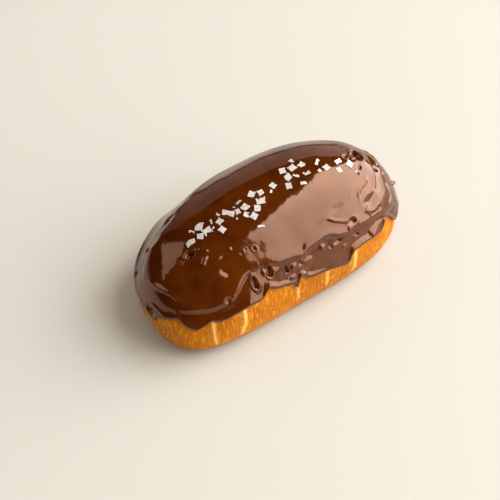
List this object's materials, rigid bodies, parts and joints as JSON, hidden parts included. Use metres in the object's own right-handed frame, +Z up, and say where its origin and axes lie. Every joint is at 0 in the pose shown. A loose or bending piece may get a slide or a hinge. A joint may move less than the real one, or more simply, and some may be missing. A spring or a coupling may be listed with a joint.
{
  "type": "chocolate salt bread",
  "caption": "Oval rolled bread bun with a flat base, a dipped chocolate glaze over its top and sides, and coarse salt flakes along its crest.",
  "frame": {"origin": "middle of the flat base, straight below the centre of the whole object's box", "axes": "+X along the bun's length towards its higher end, -Y towards the side its ends curl to, +Z up"},
  "size_m": [0.1228, 0.0658, 0.0552],
  "materials": {
    "baked_crust": "baked golden crust, satin",
    "chocolate_glaze": "set dark chocolate glaze, glossy",
    "sea_salt": "coarse white salt crystals"
  },
  "bodies": {
    "root": {"bread_bun": "baked_crust", "chocolate_glaze": "chocolate_glaze", "salt_flake_01": "sea_salt", "salt_flake_02": "sea_salt", "salt_flake_03": "sea_salt", "salt_flake_04": "sea_salt", "salt_flake_05": "sea_salt", "salt_flake_06": "sea_salt", "salt_flake_07": "sea_salt", "salt_flake_08": "sea_salt", "salt_flake_09": "sea_salt", "salt_flake_10": "sea_salt", "salt_flake_11": "sea_salt", "salt_flake_12": "sea_salt", "salt_flake_13": "sea_salt", "salt_flake_14": "sea_salt", "salt_flake_15": "sea_salt", "salt_flake_16": "sea_salt", "salt_flake_17": "sea_salt", "salt_flake_18": "sea_salt", "salt_flake_19": "sea_salt", "salt_flake_20": "sea_salt", "salt_flake_21": "sea_salt", "salt_flake_22": "sea_salt", "salt_flake_23": "sea_salt", "salt_flake_24": "sea_salt", "salt_flake_25": "sea_salt", "salt_flake_26": "sea_salt", "salt_flake_27": "sea_salt", "salt_flake_28": "sea_salt", "salt_flake_29": "sea_salt", "salt_flake_30": "sea_salt", "salt_flake_31": "sea_salt", "salt_flake_32": "sea_salt", "salt_flake_33": "sea_salt", "salt_flake_34": "sea_salt", "salt_flake_35": "sea_salt", "salt_flake_36": "sea_salt", "salt_flake_37": "sea_salt", "salt_flake_38": "sea_salt", "salt_flake_39": "sea_salt", "salt_flake_40": "sea_salt", "salt_flake_41": "sea_salt"}
  },
  "joints": []
}
